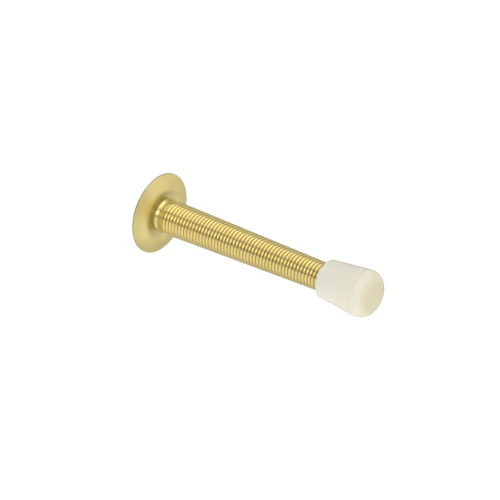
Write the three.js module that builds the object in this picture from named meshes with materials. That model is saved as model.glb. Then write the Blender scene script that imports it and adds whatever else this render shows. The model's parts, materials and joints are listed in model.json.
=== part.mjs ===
// Spring door stop, 3-1/4 in projection, 1 in base.
//
// Millimetres, +Z up. The wall is the plane X = 0 and the stop stands out of it
// along +X. The origin is on the wall, about the middle of the rim's flat land at
// its lowest point, and the axis of the stop is AXIS_Z above it.
//
// Pieces, from the wall outwards:
//   base_plate   stamped dish: rim on the wall, raised ring, recessed floor with a round hole
//   hub          turned ferrule through the plate: bead, collar, nose for the spring
//   spring_*     one close-wound, slightly tapered wire, cut into groups of whole turns
//                so that it can bend: root coils, 21 groups of two turns, tip coils
//   tip_cap      moulded vinyl cap over the last turns
import * as THREE from 'three';
import { mergeVertices } from 'three/addons/utils/BufferGeometryUtils.js';

const AXIS_Z = 12.2;            // axis of the stop above the origin
const ROUND_FACETS = 40;        // facets round a turned or pressed piece
const MERGE_TOLERANCE = 1e-4;   // corners closer than this become one

// ---------------------------------------------------------------- materials
const brass = (color, roughness) =>
  new THREE.MeshStandardMaterial({ color, roughness, metalness: 1.0 });

const plateBrass = brass(0xd6c07c, 0.34);
const hubBrass = brass(0xd2bb6e, 0.25);
const wireBrass = brass(0xe0c878, 0.22);
const vinyl = new THREE.MeshStandardMaterial({ color: 0xe6e0cc, roughness: 0.55, metalness: 0.0 });

// ---------------------------------------------------------------- helpers
// One closed body with shared corners and its faces pointing out.
function closedBody(geometry) {
  geometry.deleteAttribute('normal');
  geometry.deleteAttribute('uv');
  const body = mergeVertices(geometry, MERGE_TOLERANCE);
  const corners = body.index.array;
  const cornerAt = (index) =>
    new THREE.Vector3().fromBufferAttribute(body.attributes.position, index);

  const triangles = [];
  let signedVolume = 0;         // six times the volume, negative when faces point in
  for (let i = 0; i < corners.length; i += 3) {
    const [a, b, c] = corners.slice(i, i + 3);
    if (a === b || b === c || c === a) continue;
    triangles.push([a, b, c]);
    signedVolume += cornerAt(a).dot(cornerAt(b).cross(cornerAt(c)));
  }
  const outward = signedVolume < 0 ? triangles.map(([a, b, c]) => [a, c, b]) : triangles;
  body.setIndex(outward.flat());
  body.computeVertexNormals();
  return body;
}

function piece(name, geometry, material) {
  const mesh = new THREE.Mesh(closedBody(geometry), material);
  mesh.name = name;
  return mesh;
}

// A profile of [radius, x] turned about the X axis.
function turned(name, profile, material) {
  const points = profile.map(([radius, x]) => new THREE.Vector2(radius, x));
  const lathe = new THREE.LatheGeometry(points, ROUND_FACETS).rotateZ(-Math.PI / 2);
  return piece(name, lathe, material);
}

// ---------------------------------------------------------------- base plate
const BASE_R = 25.4 / 2;        // 1 in base
const RIM_INNER_R = 11.65;      // inner edge of the land on the wall
const DISH_TOP = 2.08;          // top of the raised ring above the wall
const FLOOR_TOP = 1.76;         // recessed floor round the hub
const FLOOR_BOTTOM = 1.14;
const PLATE_HOLE_R = 4.55;

function basePlate() {
  // [radius, x]
  const profile = [
    // rim and front of the dish, inwards
    [BASE_R, 0], [BASE_R, 0.38], [12.5, 0.56], [12.05, 0.8],
    [11.3, 1.16], [10.5, 1.51], [9.7, 1.79], [9.0, 1.97],
    // raised ring
    [8.4, DISH_TOP - 0.01], [7.8, DISH_TOP], [7.25, 2.0], [6.8, 1.88],
    // recessed floor and its hole
    [6.3, FLOOR_TOP], [PLATE_HOLE_R, FLOOR_TOP],
    [PLATE_HOLE_R, FLOOR_BOTTOM], [6.2, FLOOR_BOTTOM],
    // hollow back of the dish, outwards
    [7.0, 1.3], [7.5, 1.43], [8.0, 1.46], [8.6, 1.41],
    [9.4, 1.21], [10.2, 0.92], [10.95, 0.58], [11.45, 0.22],
    // flat land on the wall
    [RIM_INNER_R, 0], [BASE_R, 0],
  ];
  return turned('base_plate', profile, plateBrass);
}

// ---------------------------------------------------------------- hub
const HUB_BACK_X = 0.74;
const FLARE_R = 5.3;            // staked flare behind the plate's floor
const FLOOR_GAP = 0.1;          // from the plate's floor to the flare and to the foot
const SPIGOT_R = 4.25;          // hub through the plate
const SCREW_HOLE_R = 1.95;      // clears a No. 6 wood screw
const SCREW_HEAD_R = 3.3;       // room for its head
const BEAD_R = 5.46;
const COLLAR_R = 5.0;
const SHOULDER_X = 5.3;         // end of the collar, where the spring begins
const NOSE_R = 3.85;
const NOSE_END_X = 11.6;

function hub() {
  const flareFrontX = FLOOR_BOTTOM - FLOOR_GAP;
  const footX = FLOOR_TOP + FLOOR_GAP;
  // [radius, x]
  const profile = [
    // flare and spigot
    [SCREW_HOLE_R, HUB_BACK_X], [FLARE_R, HUB_BACK_X],
    [FLARE_R, flareFrontX], [SPIGOT_R, flareFrontX], [SPIGOT_R, footX],
    // foot in front of the plate's floor, then the bead
    [5.15, footX], [5.17, 2.05], [5.38, 2.2], [BEAD_R, 2.38], [BEAD_R, 2.56],
    [5.36, 2.89], [5.2, 3.2], [5.06, 3.45],
    // collar
    [COLLAR_R, 3.7], [COLLAR_R, 5.15], [4.85, SHOULDER_X],
    // nose inside the root coils
    [NOSE_R, SHOULDER_X], [NOSE_R, 11.25], [3.55, NOSE_END_X], [SCREW_HEAD_R, NOSE_END_X],
    // bore, with a conical seat for the screw's head
    [SCREW_HEAD_R, 3.35], [SCREW_HOLE_R, 2.0], [SCREW_HOLE_R, HUB_BACK_X],
  ];
  return turned('hub', profile, hubBrass);
}

// ---------------------------------------------------------------- spring
const WIRE_R = 1.08 / 2;
const WIRE_SIDES = 6;           // corners of the wire's section
const STEPS_PER_TURN = 12;      // steps of wire per turn
const SAMPLES_PER_TURN = 90;    // samples used to space the steps evenly along the wire
const PITCH = 1.181;            // close wound
const COIL_START_X = 5.867;     // centre of the wire at its first end
const COIL_START_ANGLE = 215;   // degrees round the axis from +Y towards +Z, at the first end
const ROOT_TURNS = 6;           // turns from the shoulder to just past the nose
const GROUP_TURNS = 2;
const GROUPS = 21;
const TIP_TURNS = 9;            // turns that run into the cap
const CUT_GAP = 0.3;            // gap along the wire where two groups meet

// The spring's outer radius at two stations, which set its taper.
const WIDE = { x: 15, outerR: 5.246 };
const NARROW = { x: 58, outerR: 4.469 };
const TAPER = (NARROW.outerR - WIDE.outerR) / (NARROW.x - WIDE.x);

// After a number of turns from the wire's first end: place along the axis, and
// radius from the axis to the centre of the wire.
const coilX = (turns) => COIL_START_X + PITCH * turns;
const coilR = (turns) => WIDE.outerR + TAPER * (coilX(turns) - WIDE.x) - WIRE_R;

// Centre line of the wire between two counts of turns, wound left-handed.
class CoilLine extends THREE.Curve {
  constructor(from, to) {
    super();
    this.from = from;
    this.to = to;
    this.arcLengthDivisions = Math.ceil((to - from) * SAMPLES_PER_TURN);
  }

  getPoint(fraction, target = new THREE.Vector3()) {
    const turns = this.from + (this.to - this.from) * fraction;
    const radius = coilR(turns);
    const angle = THREE.MathUtils.degToRad(COIL_START_ANGLE) - 2 * Math.PI * turns;
    return target.set(coilX(turns), radius * Math.cos(angle), radius * Math.sin(angle));
  }
}

function wireSection() {
  const corners = Array.from({ length: WIRE_SIDES }, (_, i) => {
    const angle = (i * 2 * Math.PI) / WIRE_SIDES;
    return new THREE.Vector2(WIRE_R * Math.cos(angle), WIRE_R * Math.sin(angle));
  });
  const section = new THREE.Shape(corners);
  section.closePath();
  return section;
}

// Whole turns of wire, drawn back by half the gap at each end that is cut.
function coils(name, start, turns, { cutStart = true, cutEnd = true } = {}) {
  const end = start + turns;
  const setback = CUT_GAP / 2 / (2 * Math.PI * coilR((start + end) / 2));
  const line = new CoilLine(start + (cutStart ? setback : 0), end - (cutEnd ? setback : 0));
  const geometry = new THREE.ExtrudeGeometry(wireSection(), {
    steps: turns * STEPS_PER_TURN,
    bevelEnabled: false,
    extrudePath: line,
  });
  return piece(name, geometry, wireBrass);
}

function spring() {
  const group = new THREE.Group();
  group.add(coils('spring_root_coils', 0, ROOT_TURNS, { cutStart: false }));
  for (let i = 0; i < GROUPS; i++) {
    const name = `spring_coils_${String(i + 1).padStart(2, '0')}`;
    group.add(coils(name, ROOT_TURNS + GROUP_TURNS * i, GROUP_TURNS));
  }
  const tipStart = ROOT_TURNS + GROUP_TURNS * GROUPS;
  group.add(coils('spring_tip_coils', tipStart, TIP_TURNS, { cutEnd: false }));
  return group;
}

// ---------------------------------------------------------------- tip cap
const MOUTH_X = 63.9;
const MOUTH_R = 5.92;
const WIDEST_X = 77.0;          // widest ring
const WIDEST_R = 7.235;
const CROWN_X = 81.8;           // crown of the face
const FACE_EXPONENT = 2.4;      // roundness of the shoulder; 2 would be an ellipse
const FACE_ANGLES = [72, 58, 46, 36, 27, 18, 9];  // degrees, from the crown to the widest ring
const BORE_R = 4.62;
const BORE_END_X = 74.4;

function tipCap() {
  const face = FACE_ANGLES.map((degrees) => {
    const rise = Math.sin(THREE.MathUtils.degToRad(degrees));
    const radius = WIDEST_R * (1 - rise ** FACE_EXPONENT) ** (1 / FACE_EXPONENT);
    return [radius, WIDEST_X + (CROWN_X - WIDEST_X) * rise];
  });
  // [radius, x]
  const profile = [
    [0, CROWN_X],
    ...face,
    [WIDEST_R, WIDEST_X],
    // rounded lip of the mouth
    [MOUTH_R + 0.03, MOUTH_X + 0.45],
    [MOUTH_R - 0.04, MOUTH_X + 0.12],
    [MOUTH_R - 0.22, MOUTH_X],
    // blind bore
    [BORE_R + 0.15, MOUTH_X],
    [BORE_R, MOUTH_X + 0.2],
    [BORE_R, BORE_END_X - 0.6],
    [BORE_R - 0.6, BORE_END_X],
    [0, BORE_END_X],
  ];
  return turned('tip_cap', profile, vinyl);
}

// ---------------------------------------------------------------- assembly
const stop = new THREE.Group();
stop.position.z = AXIS_Z;
stop.add(basePlate(), hub(), spring(), tipCap());

export default stop;
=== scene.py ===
"""A spring door stop: dished brass plate, turned hub, close-wound wire and cream vinyl cap.

It lies along X. The back of the plate is at x = 0, the cap points to +X, and the common
axis runs AXIS_Z above the origin. Shapes are in mm round that axis; meshes are in metres.
"""
import json
import math
from functools import reduce

import bpy
import numpy as np
from mathutils import Matrix, Vector

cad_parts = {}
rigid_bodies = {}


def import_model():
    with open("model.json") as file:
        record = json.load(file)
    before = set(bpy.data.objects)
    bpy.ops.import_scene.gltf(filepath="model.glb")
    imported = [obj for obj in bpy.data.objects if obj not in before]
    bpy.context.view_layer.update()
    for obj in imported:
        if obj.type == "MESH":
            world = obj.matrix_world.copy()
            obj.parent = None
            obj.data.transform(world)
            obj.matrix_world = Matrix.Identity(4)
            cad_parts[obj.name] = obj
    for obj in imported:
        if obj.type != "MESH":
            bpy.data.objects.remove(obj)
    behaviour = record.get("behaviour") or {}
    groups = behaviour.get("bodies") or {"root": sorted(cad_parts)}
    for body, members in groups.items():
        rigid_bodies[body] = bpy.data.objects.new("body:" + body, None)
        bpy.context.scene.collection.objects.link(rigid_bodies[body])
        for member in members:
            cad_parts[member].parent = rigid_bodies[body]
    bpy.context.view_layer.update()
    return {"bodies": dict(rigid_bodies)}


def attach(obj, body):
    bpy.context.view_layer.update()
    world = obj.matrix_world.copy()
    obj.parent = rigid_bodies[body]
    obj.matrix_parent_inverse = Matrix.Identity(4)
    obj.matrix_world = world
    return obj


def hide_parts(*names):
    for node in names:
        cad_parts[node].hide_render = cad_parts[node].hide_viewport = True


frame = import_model()

MM = 0.001
TAU = 2 * math.pi
AXIS_Z = 12.2

# ------------------------------------------------------------------ spring dimensions, mm
WIRE_R = 1.13 / 2
PITCH = 1.181
TURNS = 57.0
COIL_START_X = 5.867
COIL_START_DEG = 215            # angle of the wire's first end, from +Y towards +Z
TAPER_X, TAPER_END_X = 15.0, 58.0
COIL_R, COIL_END_R = 5.246, 4.469                   # outer radius of the coil at those two x
TAPER = (COIL_END_R - COIL_R) / (TAPER_END_X - TAPER_X)
SECTION_POINTS = 20             # points round the wire
TURN_STEPS = 48                 # sections per turn
WIRE_S_PER_TURN = 29.0          # growth of the "wire_s" attribute in one turn
WIRE_EDGE = [(0.0, 0.10), (0.03, 0.03), (0.10, 0.0)]    # rounded end: (way in, cut off radius)

# ------------------------------------------------------------------ hinges between bodies
BODIES = ["base"] + [f"link_{i:02d}" for i in range(1, 22)] + ["tip"]
HINGES = range(1, len(BODIES))  # hinge k joins body k - 1 to body k
FIRST_HINGE_TURN = 6.0
HINGE_TURNS = 2                 # turns from one hinge to the next
BEND_REACH = 1.84               # turns either side of a hinge that share its bend
FREE_TURNS = (4.9, 49.1)        # turns outside these stay put on the hub or in the cap


# ------------------------------------------------------------------ mesh helpers
def make_mesh(name, verts, faces, normals, material, attributes=None, flat=()):
    """A smooth object with a normal per vertex; faces numbered in `flat` keep their own."""
    me = bpy.data.meshes.new(name)
    me.from_pydata([tuple(v) for v in (np.asarray(verts) + (0, 0, AXIS_Z)) * MM], [], faces)
    me.validate()
    me.polygons.foreach_set("use_smooth", [True] * len(me.polygons))
    for key, values in (attributes or {}).items():
        attribute = me.attributes.new(key, "FLOAT", "POINT")
        attribute.data.foreach_set("value", np.asarray(values, np.float32))
    me.normals_split_custom_set([
        tuple(face.normal if face.index in flat else normals[me.loops[loop].vertex_index])
        for face in me.polygons for loop in face.loop_indices])
    me.update()
    ob = bpy.data.objects.new(name, me)
    bpy.context.scene.collection.objects.link(ob)
    me.materials.append(material)
    return ob


def fillet(points, steps):
    """Polyline of (r, x) or (r, x, radius) with an arc at each corner that has a radius.

    `steps` sets how finely a right angle is divided.
    """
    corners = [np.array(point[:2], float) for point in points]
    outline = [corners[0]]
    for i in range(1, len(points) - 1):
        corner = corners[i]
        if len(points[i]) < 3:
            outline.append(corner)
            continue
        back, ahead = corners[i - 1] - corner, corners[i + 1] - corner
        back_length, ahead_length = np.linalg.norm(back), np.linalg.norm(ahead)
        back, ahead = back / back_length, ahead / ahead_length
        half = math.acos(float(back @ ahead)) / 2
        # an arc may use up just under half of each side
        cut = min(points[i][2] / math.tan(half), 0.49 * back_length, 0.49 * ahead_length)
        radius = cut * math.tan(half)
        middle = back + ahead
        centre = corner + middle / np.linalg.norm(middle) * (radius / math.sin(half))
        start, end = corner + back * cut - centre, corner + ahead * cut - centre
        sweep = math.atan2(start[0] * end[1] - start[1] * end[0], start @ end)
        count = max(2, int(steps * abs(sweep) / (math.pi / 2)) + 1)
        for j in range(count + 1):
            cos, sin = math.cos(sweep * j / count), math.sin(sweep * j / count)
            spoke = (start[0] * cos - start[1] * sin, start[0] * sin + start[1] * cos)
            outline.append(centre + np.array(spoke))
    return outline + [corners[-1]]


def spline(points, steps):
    """Centripetal Catmull-Rom curve through the points, `steps` pieces to each gap."""
    spans = [[(0, 1), (1, 2), (2, 3)], [(0, 2), (1, 3)], [(1, 2)]]      # knots of each blend
    points = np.array(points, float)
    points = [2 * points[0] - points[1], *points, 2 * points[-1] - points[-2]]
    curve = []
    for four in zip(points, points[1:], points[2:], points[3:]):
        knots = [0.0]
        for here, there in zip(four, four[1:]):
            knots.append(knots[-1] + np.linalg.norm(there - here) ** 0.5)
        for j in range(steps):
            t = knots[1] + (knots[2] - knots[1]) * j / steps
            level = four
            for row in spans:
                level = [((knots[b] - t) * p + (t - knots[a]) * q) / (knots[b] - knots[a])
                         for p, q, (a, b) in zip(level, level[1:], row)]
            curve.append(level[0])
    return curve + [points[-2]]


def lathe(name, profile, segments, material, warp=None):
    """Turn a profile of (r, x) round the axis; repeated points are dropped.

    It runs counter-clockwise with r to the right and x up. One that starts and ends on the
    axis is left open there; any other is closed.
    """
    outline = [profile[0]]
    for point in profile[1:]:
        if np.linalg.norm(np.subtract(point, outline[-1])) > 1e-5:
            outline.append(point)
    if np.linalg.norm(np.subtract(outline[0], outline[-1])) < 1e-5:
        outline.pop()
    on_axis = outline[0][0] < 1e-6 and outline[-1][0] < 1e-6
    steps = [np.subtract(b, a) for a, b in zip(outline, outline[1:] + outline[:1])]
    if on_axis:
        steps[-1] = np.zeros(2)
    verts, normals, rings = [], [], []
    for i, (r, x) in enumerate(outline):
        across = steps[i - 1] + steps[i]        # the sum weights both steps by length
        normal_r, normal_x = np.array([across[1], -across[0]]) / np.linalg.norm(across)
        angles = [TAU * j / segments for j in range(segments)]
        if r < 1e-6:
            angles = [0.0]
            normal_r, normal_x = 0.0, np.sign(normal_x)
        rings.append(range(len(verts), len(verts) + len(angles)))
        for a in angles:
            verts.append((x, r * math.cos(a), r * math.sin(a)))
            normals.append((normal_x, normal_r * math.cos(a), normal_r * math.sin(a)))
    faces = []
    for ring, after in zip(rings, rings[1:] + ([] if on_axis else rings[:1])):
        for j in range(segments):
            k = (j + 1) % segments
            corners = (ring[k % len(ring)], after[k % len(after)],
                       after[j % len(after)], ring[j % len(ring)])
            faces.append(tuple(dict.fromkeys(corners)))     # a triangle at the axis
    verts = np.array(verts)
    if warp is not None:
        verts = warp(verts)
    return make_mesh(name, verts, faces, normals, material)


# ------------------------------------------------------------------ node helper
class Shader:
    """Adds nodes to a cleared node tree; any input may be a value, a socket or a node."""

    def __init__(self, tree):
        self.tree = tree
        tree.nodes.clear()

    def add(self, kind, inputs=(), **settings):
        """Inputs are a list in socket order, or a dict by socket name or number."""
        node = self.tree.nodes.new(kind)
        for key, value in settings.items():
            setattr(node, key, value)
        for key, value in inputs.items() if isinstance(inputs, dict) else enumerate(inputs):
            if isinstance(value, bpy.types.Node):
                value = value.outputs[0]
            if isinstance(value, bpy.types.NodeSocket):
                self.tree.links.new(value, node.inputs[key])
            else:
                node.inputs[key].default_value = value
        return node

    def calc(self, operation, a, b=0.0):
        return self.add("ShaderNodeMath", [a, b, 0.0], operation=operation)

    def times(self, *values):
        return reduce(lambda a, b: self.calc("MULTIPLY", a, b), values)

    def plus(self, *values):
        return reduce(lambda a, b: self.calc("ADD", a, b), values)

    def noise(self, point, scale=1.0, detail=3.0, rough=0.6):
        return self.add("ShaderNodeTexNoise", {
            "Vector": point, "Scale": scale, "Detail": detail, "Roughness": rough})

    def ramp(self, value, over, to=(0, 1), smooth=False):
        """Carry the range `over` to the range `to`, held at both ends."""
        return self.add("ShaderNodeMapRange", [value, *over, *to],
                        interpolation_type="SMOOTHSTEP" if smooth else "LINEAR")

    def spread(self, noise, to=(0, 1)):
        """The middle of a 0..1 noise widened to the range `to`."""
        return self.ramp(noise, over=(0.3, 0.7), to=to)

    def waver(self, value, noise, by):
        """The value moved up or down by as much as `by`."""
        return self.plus(value, self.spread(noise, to=(-by, by)))

    def band(self, value, low, high, soft):
        """1 between low and high, 0 outside, with soft edges."""
        return self.times(
            self.ramp(value, over=(low - soft, low + soft), smooth=True),
            self.ramp(value, over=(high - soft, high + soft), to=(1, 0), smooth=True))

    def mix(self, base, over, mask, strength=None, blend="MIX"):
        """Lay the colour `over` on `base` where the mask is."""
        if strength is not None:
            mask = self.times(mask, strength)
        node = self.add("ShaderNodeMix", data_type="RGBA", blend_type=blend)
        for key, value in ((0, mask), (6, base), (7, over)):
            if isinstance(value, bpy.types.Node):
                value = value.outputs[0]
            if isinstance(value, bpy.types.NodeSocket):
                self.tree.links.new(value, node.inputs[key])
            else:
                node.inputs[key].default_value = value
        return node.outputs[2]

    def split(self, vector):
        return self.add("ShaderNodeSeparateXYZ", [vector]).outputs

    def stretch(self, parts, by):
        """A vector of the three parts, each scaled; a factor of 1 adds no node."""
        return self.add("ShaderNodeCombineXYZ", [
            part if factor == 1 else self.times(part, factor) for part, factor in zip(parts, by)])

    def place(self):
        """Position in mm from the stop's axis, its x, y and z, and the radius."""
        coordinates = self.add("ShaderNodeTexCoord").outputs["Object"]
        centred = self.add("ShaderNodeVectorMath", [coordinates, (0, 0, AXIS_Z * MM)],
                           operation="SUBTRACT")
        point = self.add("ShaderNodeVectorMath", {0: centred, "Scale": 1000.0}, operation="SCALE")
        x, y, z = self.split(point)
        r = self.calc("SQRT", self.plus(self.times(y, y), self.times(z, z)))
        return point, x, y, z, r

    def tool_rings(self, place, fineness, around, detail):
        """Turned rings: noise on r and x that hardly changes round the axis."""
        _, x, y, z, r = place
        angle = self.calc("ARCTAN2", z, y)
        return self.noise(self.stretch((r, x, angle), by=(fineness, fineness, around)),
                          detail=detail)

    def bumps(self, *layers):
        """Stacked bumps, lowest first: (height, strength, distance in metres)."""
        inputs = {}
        for height, strength, distance in layers:
            inputs.update(Height=height, Strength=strength, Distance=distance)
            inputs["Normal"] = self.add("ShaderNodeBump", inputs)
        return inputs["Normal"]

    def surface(self, color, rough, normal, **others):
        """Principled surface; an underscore in a name stands for a space."""
        inputs = {"Base Color": color, "Roughness": rough, "Normal": normal}
        inputs.update({key.replace("_", " "): value for key, value in others.items()})
        self.add("ShaderNodeOutputMaterial", [self.add("ShaderNodeBsdfPrincipled", inputs)])


def new_material(name, paint):
    material = bpy.data.materials.new(name)
    material.use_nodes = True
    paint(Shader(material.node_tree))
    return material


# ------------------------------------------------------------------ materials
def paint_plate(sh):
    place = point, x, y, z, r = sh.place()
    cloud = sh.noise(point, scale=0.22, rough=0.55)
    fine = sh.noise(point, scale=2.6, detail=4.0)
    grain = sh.noise(point, scale=14.0)
    rings = sh.tool_rings(place, fineness=9.0, around=0.35, detail=3.0)
    color = sh.mix((0.91, 0.785, 0.355, 1), over=(0.88, 0.74, 0.31, 1), mask=sh.spread(cloud))
    color = sh.mix(color, over=(0.86, 0.71, 0.30, 1), mask=sh.spread(fine, to=(0.0, 0.35)))
    # steel shows at the edge of the sheet
    rim = sh.times(sh.ramp(r, over=(12.48, 12.62)), sh.ramp(x, over=(0.66, 0.46)),
                   sh.spread(sh.noise(point, scale=1.3), to=(0.55, 1.0)))
    color = sh.mix(color, over=(0.46, 0.455, 0.43, 1), mask=rim, strength=0.8)
    # painted shade in the valley round the hub, most of it on the side towards +Z and -Y
    valley = sh.ramp(sh.waver(r, cloud, by=0.4), over=(7.9, 5.9))
    rise = sh.calc("SUBTRACT", sh.times(z, 0.5), sh.times(y, 0.7))
    shade_side = sh.ramp(sh.calc("DIVIDE", rise, r), over=(0.15, 0.60), smooth=True)
    color = sh.mix(color, over=(0.58, 0.54, 0.29, 1),
                   mask=sh.times(valley, sh.ramp(shade_side, over=(0, 1), to=(0.40, 0.75))))
    # painted shade, deeper on that side near the hub
    close = sh.ramp(sh.waver(r, fine, by=0.15), over=(7.7, 6.3), smooth=True)
    color = sh.mix(color, over=(0.87, 0.895, 0.77, 1), mask=sh.times(close, shade_side),
                   blend="MULTIPLY")
    # darker crest of the dish
    crest = sh.times(sh.band(r, low=7.45, high=7.9, soft=0.2), sh.spread(
        sh.noise(point, scale=0.30, detail=2.0, rough=0.5), to=(0.2, 1.0)))
    color = sh.mix(color, over=(0.60, 0.52, 0.26, 1), mask=crest, strength=0.30)
    # two faint darker patches
    for patch_y, patch_z, size, depth in ((3.6, 8.6, 2.4, 0.16), (-0.6, -11.3, 2.6, 0.22)):
        flat = sh.add("ShaderNodeCombineXYZ", [0.0, y, z])
        away = sh.add("ShaderNodeVectorMath", [flat, (0.0, patch_y, patch_z)],
                      operation="DISTANCE").outputs["Value"]
        away = sh.waver(away, sh.noise(point, scale=0.9, detail=2.0, rough=0.5), by=0.35)
        color = sh.mix(color, over=(0.58, 0.47, 0.22, 1), strength=depth,
                       mask=sh.ramp(away, over=(size, size * 0.2), smooth=True))
    # faces turned to -X are duller
    normal_x = sh.split(sh.add("ShaderNodeTexCoord").outputs["Normal"])[0]
    hind = sh.ramp(normal_x, over=(-0.05, -0.35))
    bare = sh.mix((0.62, 0.52, 0.29, 1), over=(0.50, 0.42, 0.25, 1), mask=sh.spread(fine))
    color = sh.mix(color, over=bare, mask=hind, strength=0.8)
    # hairline scratches, in patches
    cells = sh.add("ShaderNodeTexVoronoi", {
        "Vector": sh.stretch((y, z, x), by=(0.22, 0.55, 1)), "Scale": 1.0},
        feature="DISTANCE_TO_EDGE")
    scratch = sh.times(
        sh.ramp(cells.outputs["Distance"], over=(0.0, 0.012), to=(1.0, 0.0)),
        sh.ramp(sh.noise(point, scale=0.35, detail=2.0, rough=0.5), over=(0.52, 0.62)))
    rough = sh.plus(
        sh.spread(fine, to=(0.33, 0.39)),
        sh.spread(cloud, to=(-0.02, 0.03)),
        sh.times(rim, 0.1),         # added at the rim,
        sh.times(hind, 0.12),       # on the back
        sh.times(scratch, 0.08))    # and in scratches
    normal = sh.bumps((rings, 0.13, 0.00006), (grain, 0.16, 0.00003), (cloud, 0.5, 0.0002),
                      (sh.times(scratch, -1.0), 0.15, 0.00003))
    sh.surface(color, rough, normal, Metallic=0.80)     # satin: part of the light is scattered


def paint_hub(sh):
    place = point, x, y, z, r = sh.place()
    cloud = sh.noise(point, scale=0.5, rough=0.55)
    fine = sh.noise(point, scale=5.0, detail=4.0)
    rings = sh.tool_rings(place, fineness=16.0, around=0.4, detail=2.0)
    color = sh.mix((0.91, 0.78, 0.36, 1), over=(0.87, 0.725, 0.31, 1), mask=sh.spread(cloud))
    color = sh.mix(color, over=(0.76, 0.60, 0.24, 1), mask=sh.spread(fine, to=(0.0, 0.3)))
    # painted shade: the plain collar is coloured a little darker than the bead
    color = sh.mix(color, over=(0.62, 0.535, 0.245, 1), strength=0.55,
                   mask=sh.ramp(x, over=(2.9, 3.5)))
    # painted shade in the crevice where the hub meets the plate
    color = sh.mix(color, over=(0.56, 0.46, 0.20, 1), strength=0.5,
                   mask=sh.ramp(x, over=(2.3, 1.4)))
    rough = sh.plus(sh.spread(fine, to=(0.15, 0.24)), sh.spread(rings, to=(0.0, 0.06)))
    normal = sh.bumps((rings, 0.18, 0.00005), (fine, 0.12, 0.00004))
    sh.surface(color, rough, normal, Metallic=1.0)


def paint_wire(sh):
    along, angle = (sh.add("ShaderNodeAttribute", attribute_name=name).outputs["Fac"]
                    for name in ("wire_s", "wire_a"))
    outward = sh.calc("COSINE", angle)
    place = outward, sh.calc("SINE", angle), along
    # die lines run along the wire
    lines = sh.noise(sh.stretch(place, by=(7.0, 7.0, 0.05)), rough=0.65)
    patch = sh.noise(sh.stretch(place, by=(0.6, 0.6, 0.16)), rough=0.55)
    fine = sh.noise(sh.stretch(place, by=(3.0, 3.0, 3.0)))
    color = sh.mix((0.935, 0.80, 0.375, 1), over=(0.895, 0.745, 0.31, 1), mask=sh.spread(patch))
    color = sh.mix(color, over=(0.78, 0.61, 0.23, 1), mask=sh.spread(lines, to=(0.0, 0.35)))
    # painted shade: the sides of the wire, in the groove between turns, are darker; they are also
    # rougher
    groove = sh.ramp(outward, over=(0.42, 0.05))
    color = sh.mix(color, over=(0.48, 0.36, 0.12, 1), mask=groove, strength=0.55)
    rough = sh.plus(sh.spread(fine, to=(0.10, 0.17)), sh.spread(lines, to=(0.0, 0.06)),
                    sh.times(groove, 0.12))
    normal = sh.bumps((lines, 0.22, 0.00002), (fine, 0.10, 0.00002))
    sh.surface(color, rough, normal, Metallic=1.0)


def paint_vinyl(sh):
    point, x, y, z, r = sh.place()
    cloud = sh.noise(point, scale=0.16, rough=0.5)
    fine = sh.noise(point, scale=3.5, detail=4.0)
    grain = sh.noise(point, scale=16.0, rough=0.65)
    color = sh.mix((0.955, 0.93, 0.825, 1), over=(0.935, 0.905, 0.785, 1),
                   mask=sh.spread(cloud))
    # the face is yellower towards its middle
    face = sh.times(
        sh.ramp(sh.waver(r, cloud, by=0.5), over=(7.3, 4.3), to=(0.12, 1), smooth=True),
        sh.ramp(x, over=(77.3, 78.2)))
    color = sh.mix(color, over=(0.775, 0.71, 0.51, 1), mask=face, strength=0.86)
    # a little darker just behind the widest ring
    ring = sh.times(sh.ramp(x, over=(76.2, 77.15), smooth=True),
                    sh.ramp(x, over=(77.2, 77.45), to=(1, 0)))
    color = sh.mix(color, over=(0.72, 0.65, 0.46, 1), mask=ring, strength=0.14)
    color = sh.mix(color, over=(0.80, 0.745, 0.60, 1), mask=sh.spread(fine, to=(0.0, 0.10)))
    # faint scuffs on the face
    streaks = sh.noise(sh.stretch((y, z, x), by=(0.35, 1.6, 1)), detail=4.0, rough=0.7)
    scuff = sh.times(face, sh.ramp(streaks, over=(0.60, 0.72)))
    color = sh.mix(color, over=(0.50, 0.46, 0.38, 1), mask=scuff, strength=0.14)
    # darker and browner at the mouth
    color = sh.mix(color, over=(0.66, 0.56, 0.33, 1), strength=0.35,
                   mask=sh.ramp(x, over=(64.6, 63.9)))
    # painted shade: darker towards the outline as the camera sees it
    facing = sh.add("ShaderNodeLayerWeight", {"Blend": 0.5}).outputs["Facing"]
    color = sh.mix(color, over=(0.56, 0.50, 0.35, 1), strength=0.55,
                   mask=sh.ramp(facing, over=(0.60, 0.96), smooth=True))
    rough = sh.plus(sh.spread(fine, to=(0.42, 0.50)), sh.times(scuff, 0.1))
    normal = sh.bumps((grain, 0.22, 0.00004), (fine, 0.16, 0.00006))
    sh.surface(color, rough, normal, Subsurface_Weight=0.45, Subsurface_Scale=0.0022,
               Subsurface_Radius=(1.0, 0.75, 0.45), IOR=1.45)


def paint_floor(sh):
    """White that also glows a little, like a lit acrylic table."""
    white = sh.add("ShaderNodeBsdfDiffuse", {"Color": (0.93, 0.93, 0.92, 1)})
    glow = sh.add("ShaderNodeEmission", {"Color": (1, 0.995, 0.985, 1), "Strength": 0.34})
    sh.add("ShaderNodeOutputMaterial", [sh.add("ShaderNodeAddShader", [white, glow])])


PLATE_BRASS = new_material("satin_brass_plate", paint_plate)
HUB_BRASS = new_material("turned_brass_hub", paint_hub)
WIRE_BRASS = new_material("bright_brass_wire", paint_wire)
VINYL = new_material("cream_vinyl", paint_vinyl)

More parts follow.
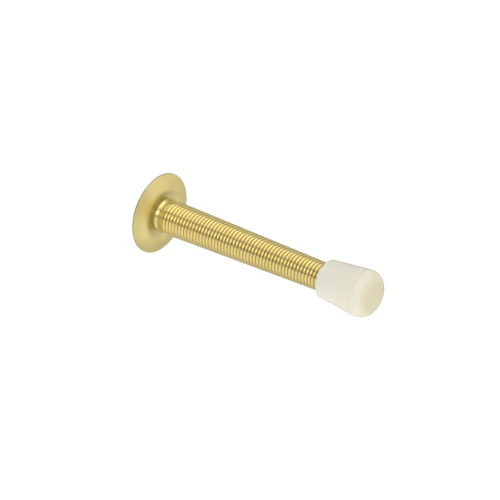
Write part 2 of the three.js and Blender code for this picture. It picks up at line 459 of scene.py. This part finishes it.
# ------------------------------------------------------------------ base plate, (r, x[, radius])
plate_edge = fillet([(11.6, 0.0), (12.7, 0.0, 0.07), (12.7, 0.42, 0.10), (12.35, 0.62)], 8)
plate_front = spline([
    (12.35, 0.62), (11.6, 1.02), (10.7, 1.43), (9.9, 1.73), (9.1, 1.955), (8.4, 2.07),
    (7.8, 2.085), (7.25, 2.01), (6.8, 1.89), (6.4, 1.80), (5.9, 1.76), (5.4, 1.75)], 7)
plate_hole = fillet([(5.4, 1.75), (4.55, 1.75, 0.08), (4.55, 1.14, 0.06), (5.6, 1.14)], 4)
plate_back = spline([
    (5.6, 1.14), (6.4, 1.18), (7.0, 1.31), (7.5, 1.44), (8.0, 1.475), (8.6, 1.42),
    (9.4, 1.22), (10.2, 0.93), (10.95, 0.59), (11.42, 0.26)], 8)
plate_foot = [(11.56, 0.12), (11.64, 0.03), (11.72, 0.0)]
# the edge's first point only gives its direction; the foot ends the flat instead
plate = lathe("base_plate_dish", plate_edge[1:] + plate_front + plate_hole + plate_back
              + plate_foot, 256, PLATE_BRASS)
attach(plate, "base")
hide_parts("base_plate")

# ------------------------------------------------------------------ hub, (r, x[, radius])
hub_flange = fillet([
    (1.95, 1.5), (1.95, 0.74, 0.12), (5.3, 0.74, 0.12), (5.3, 1.06, 0.05), (4.25, 1.06, 0.03),
    (4.25, 1.76, 0.03), (5.15, 1.76, 0.05), (5.17, 2.05)], 8)
hub_bead = spline([
    (5.17, 2.05), (5.34, 2.16), (5.43, 2.30), (5.455, 2.46), (5.43, 2.67), (5.36, 2.89),
    (5.25, 3.11), (5.13, 3.31), (5.05, 3.45), (5.01, 3.60), (5.0, 3.8)], 6)
hub_nose_and_bore = fillet([
    (5.0, 3.8), (5.0, 5.24, 0.10), (4.26, 5.24, 0.03), (4.24, 6.7), (4.1, 11.2, 0.25),
    (3.75, 11.6, 0.05), (3.3, 11.6, 0.05), (3.3, 3.35, 0.05), (1.95, 2.0, 0.05), (1.95, 1.5)], 8)
SHOULDER_X = (5.05, 5.3)        # these bounds and the radius pick out the shoulder's points
SHOULDER_MIN_R = 4.2
SHOULDER_RISE = PITCH * 0.985   # in one turn


def helical_shoulder(verts):
    """Make the shoulder follow the first turn; its step is where the wire's end butts."""
    r = np.hypot(verts[:, 1], verts[:, 2])
    angle = np.arctan2(verts[:, 2], verts[:, 1])
    turn = ((math.radians(COIL_START_DEG) - angle) / TAU) % 1.0
    low, high = SHOULDER_X
    move = (verts[:, 0] > low) & (verts[:, 0] < high) & (r > SHOULDER_MIN_R)
    verts[move, 0] += SHOULDER_RISE * turn[move]
    return verts


hub = lathe("hub_ferrule", hub_flange + hub_bead + hub_nose_and_bore, 192,
            HUB_BRASS, warp=helical_shoulder)
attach(hub, "base")
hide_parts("hub")


# ------------------------------------------------------------------ spring wire
def coil_place(t):
    """x and the radius of the wire's centre line at t turns."""
    x = COIL_START_X + PITCH * t
    return x, COIL_R + TAPER * (x - TAPER_X) - WIRE_R


def wire_section(t):
    """Centre, outward direction and sideways direction of the section at t turns."""
    x, r = coil_place(t)
    angle = math.radians(COIL_START_DEG) - TAU * t
    cos, sin = math.cos(angle), math.sin(angle)
    growth = TAPER * PITCH
    tangent = np.array([PITCH, growth * cos + r * TAU * sin, growth * sin - r * TAU * cos])
    tangent /= np.linalg.norm(tangent)
    out = np.array([0, cos, sin])
    out -= tangent * (out @ tangent)
    out /= np.linalg.norm(out)
    return np.array([x, r * cos, r * sin]), out, np.cross(tangent, out)


def wire_piece(name, start, end):
    """Closed tube between two turns, and the turn of each vertex."""
    count = int(round((end - start) * TURN_STEPS))
    stations = [(start + (end - start) * i / count, WIRE_R) for i in range(count + 1)]
    lap = TAU * coil_place(start)[1]
    if start == 0.0:
        stations[:1] = [(start + way / lap, WIRE_R - cut) for way, cut in WIRE_EDGE]
    if end == TURNS:
        stations[-1:] = [(end - way / lap, WIRE_R - cut) for way, cut in reversed(WIRE_EDGE)]
    verts, normals, around, turns = [], [], [], []
    for t, radius in stations:
        centre, out, side = wire_section(t)
        for j in range(SECTION_POINTS):
            angle = TAU * j / SECTION_POINTS
            normal = math.cos(angle) * out + math.sin(angle) * side
            verts.append(centre + radius * normal)
            normals.append(normal)
            around.append(angle if angle <= math.pi else angle - TAU)
            turns.append(t)
    faces = []
    last = (len(stations) - 1) * SECTION_POINTS
    for here in range(0, last, SECTION_POINTS):
        there = here + SECTION_POINTS
        for j in range(SECTION_POINTS):
            k = (j + 1) % SECTION_POINTS
            faces.append((here + j, here + k, there + k, there + j))
    ends = (len(faces), len(faces) + 1)
    faces += [tuple(reversed(range(SECTION_POINTS))), tuple(range(last, len(verts)))]
    turns = np.array(turns)
    ob = make_mesh(name, verts, faces, normals, WIRE_BRASS, flat=ends,
                   attributes={"wire_a": around, "wire_s": turns * WIRE_S_PER_TURN})
    return ob, turns


def hinge_turn(k):
    return FIRST_HINGE_TURN + HINGE_TURNS * (k - 1)


def past_hinge(k, turns):
    """How far, 0 to 1, the wire has gone over from body k - 1 to body k."""
    middle = hinge_turn(k)
    low = max(middle - BEND_REACH, FREE_TURNS[0])
    high = min(middle + BEND_REACH, FREE_TURNS[1])
    return np.interp(turns, [low, middle, high], [0, 0.5, 1])


def lean(ob, body, shares):
    """Hook a piece to a neighbouring body by a share for each vertex."""
    group = ob.vertex_groups.new(name=f"towards_{body}")
    for index, share in enumerate(shares):
        if share > 0:
            group.add([index], float(share), "REPLACE")
    empty = frame["bodies"][body]
    hook = ob.modifiers.new(group.name, "HOOK")
    hook.object = empty
    hook.vertex_group = group.name
    hook.falloff_type = "NONE"
    bpy.context.view_layer.update()
    hook.matrix_inverse = empty.matrix_world.inverted() @ ob.matrix_world


# The hinges lie along Y and Z in turn. The wire is cut where it crosses a hinge's axis, at
# 180 or 270 degrees: there it only turns about its own middle, so it stays joined in a bend.
cuts = [hinge_turn(k) + (COIL_START_DEG - (180 if k % 2 else 270)) / 360 for k in HINGES]
cuts = [0.0] + cuts + [TURNS]
for k, body in enumerate(BODIES):
    end_label = {"base": "root", "tip": "tip"}.get(body)
    wire, turns = wire_piece(f"spring_wire_{end_label or f'{k:02d}'}", cuts[k], cuts[k + 1])
    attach(wire, body)
    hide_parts(f"spring_{end_label}_coils" if end_label else f"spring_coils_{k:02d}")
    if k in HINGES:
        lean(wire, BODIES[k - 1], 1 - past_hinge(k, turns))
    if k + 1 in HINGES:
        lean(wire, BODIES[k + 1], past_hinge(k + 1, turns))

# ------------------------------------------------------------------ tip cap, (r, x[, radius])
CAP_END_X = 81.8
CAP_RING = (7.262, 77.35)       # widest ring, where the side meets the dome in a soft crease
CAP_MOUTH = (5.95, 64.4)
DOME_R, DOME_X = 7.30, 76.4     # half-axes start here; the dome is a superellipse
DOME_POWER = 2.5
DOME_STEPS = 64
CREASE_GAP = 0.04               # the dome stops this far short of the ring

cap_dome = [(0.0, CAP_END_X)]
for i in range(1, DOME_STEPS + 1):
    height = math.sin(math.radians(90 * (1 - i / DOME_STEPS)))
    x = DOME_X + (CAP_END_X - DOME_X) * height
    if x > CAP_RING[1] + CREASE_GAP:
        cap_dome.append((DOME_R * (1 - height ** DOME_POWER) ** (1 / DOME_POWER), x))
cap_side = list(np.linspace(CAP_RING, CAP_MOUTH, 25))
cap_lip = fillet([CAP_MOUTH, (5.90, 63.9, 0.3), (4.42, 63.9, 0.25), (4.40, 65.0)], 8)
cap_bore = fillet([(4.36, 67.0), (4.30, 70.0), (4.24, 73.2), (4.2, 74.2, 0.5), (0.0, 74.2)], 6)
cap_profile = cap_dome + cap_side + cap_lip + cap_bore      # clockwise, so it is reversed
cap = lathe("cap_vinyl", cap_profile[::-1], 192, VINYL)
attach(cap, "tip")
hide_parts("tip_cap")

# ------------------------------------------------------------------ floor, metres
FLOOR_HALF, FLOOR_Z = 6.0, -0.16
floor_mesh = bpy.data.meshes.new("floor")
floor_mesh.from_pydata([(x * FLOOR_HALF, y * FLOOR_HALF, FLOOR_Z)
                        for x, y in ((-1, -1), (1, -1), (1, 1), (-1, 1))], [], [(0, 1, 2, 3)])
floor_mesh.materials.append(new_material("pale_floor", paint_floor))
floor = bpy.data.objects.new("floor", floor_mesh)
bpy.context.scene.collection.objects.link(floor)
floor.visible_glossy = False

# ------------------------------------------------------------------ studio light
# Each panel: two angles about X in degrees (0 is +Y, 90 is up, 180 is -Y) and their softness,
# two x components of the direction and their softness, strength.
PANELS = [
    (56, 119, 10, -0.57, 0.58, 0.15, 0.92),     # overhead soft box
    (133, 160.5, 3, -0.06, 0.68, 0.14, 1.30),   # soft box on the camera's side
    (178, 182, 2, -0.90, 0.80, 0.20, 0.50),     # white sheet at -Y, at the horizon
    (-182, -115, 4, -0.90, 0.80, 0.20, 0.50),   # and below it
    (-115, -25, 8, -0.70, 1.20, 0.25, 0.12),    # white floor under the stop
    (-118, -80, 6, -0.85, 0.50, 0.20, 0.12),    # where it is nearest
    (-80, -32, 8, 0.58, 0.97, 0.16, 0.30),      # brighter pool on the floor beyond the tip
    (-26, 50, 8, 0.10, 0.99, 0.25, 0.30),       # white card beyond the tip
    (-40, 12, 12, -0.95, 0.10, 0.20, 0.07),     # far wall
]


def paint_world(sh):
    """The panels and a soft room light the stop; the camera itself sees plain white."""
    along, across, up = sh.split(sh.add("ShaderNodeTexCoord").outputs["Generated"])
    angle = sh.times(sh.calc("ARCTAN2", up, across), 180 / math.pi)
    panels = [sh.times(sh.times(sh.band(angle, *angles), sh.band(along, *xs)), strength)
              for *angles, x0, x1, soft, strength in PANELS for xs in [(x0, x1, soft)]]
    total = sh.plus(
        *panels,
        sh.ramp(along, over=(-0.9, -0.2), to=(0.24, 0.40)),                 # the room
        sh.ramp(along, over=(0.50, 0.88), to=(0.0, 0.26), smooth=True))     # its +X end
    dim = sh.ramp(along, over=(0.94, 0.995), to=(0.0, 0.24), smooth=True)   # straight along +X
    light = sh.add("ShaderNodeBackground", {
        "Color": (1, 0.985, 0.955, 1), "Strength": sh.calc("SUBTRACT", total, dim)})
    seen = sh.add("ShaderNodeBackground", {"Color": (1, 1, 1, 1), "Strength": 1.0})
    camera_ray = sh.add("ShaderNodeLightPath").outputs["Is Camera Ray"]
    sh.add("ShaderNodeOutputWorld", [sh.add("ShaderNodeMixShader", [camera_ray, light, seen])])


world = bpy.data.worlds.new("studio")
bpy.context.scene.world = world
world.use_nodes = True
paint_world(Shader(world.node_tree))

# ------------------------------------------------------------------ camera
right = Vector((0.78471, 0.61987, 0.0)).normalized()
forward = Vector((-0.53782, 0.68085, -0.49718)).normalized()
up = right.cross(forward).normalized()
# mm from the point of the axis at x = 0
TO_RIGHT, DOWN, BACK = 27.720727, 11.366365, 758.5
location = (TO_RIGHT * right - DOWN * up - BACK * forward + Vector((0, 0, AXIS_Z))) * MM

camera_data = bpy.data.cameras.new("camera")
camera_data.sensor_width = 36.0
camera_data.lens = 179.032824
camera_data.clip_start, camera_data.clip_end = 0.05, 20
camera = bpy.data.objects.new("camera", camera_data)
bpy.context.scene.collection.objects.link(camera)
turned = Matrix((right, up, -forward)).transposed().to_4x4()
camera.matrix_world = Matrix.Translation(location) @ turned
bpy.context.scene.camera = camera
bpy.context.scene.view_settings.view_transform = "Standard"
bpy.context.scene.view_settings.look = "None"
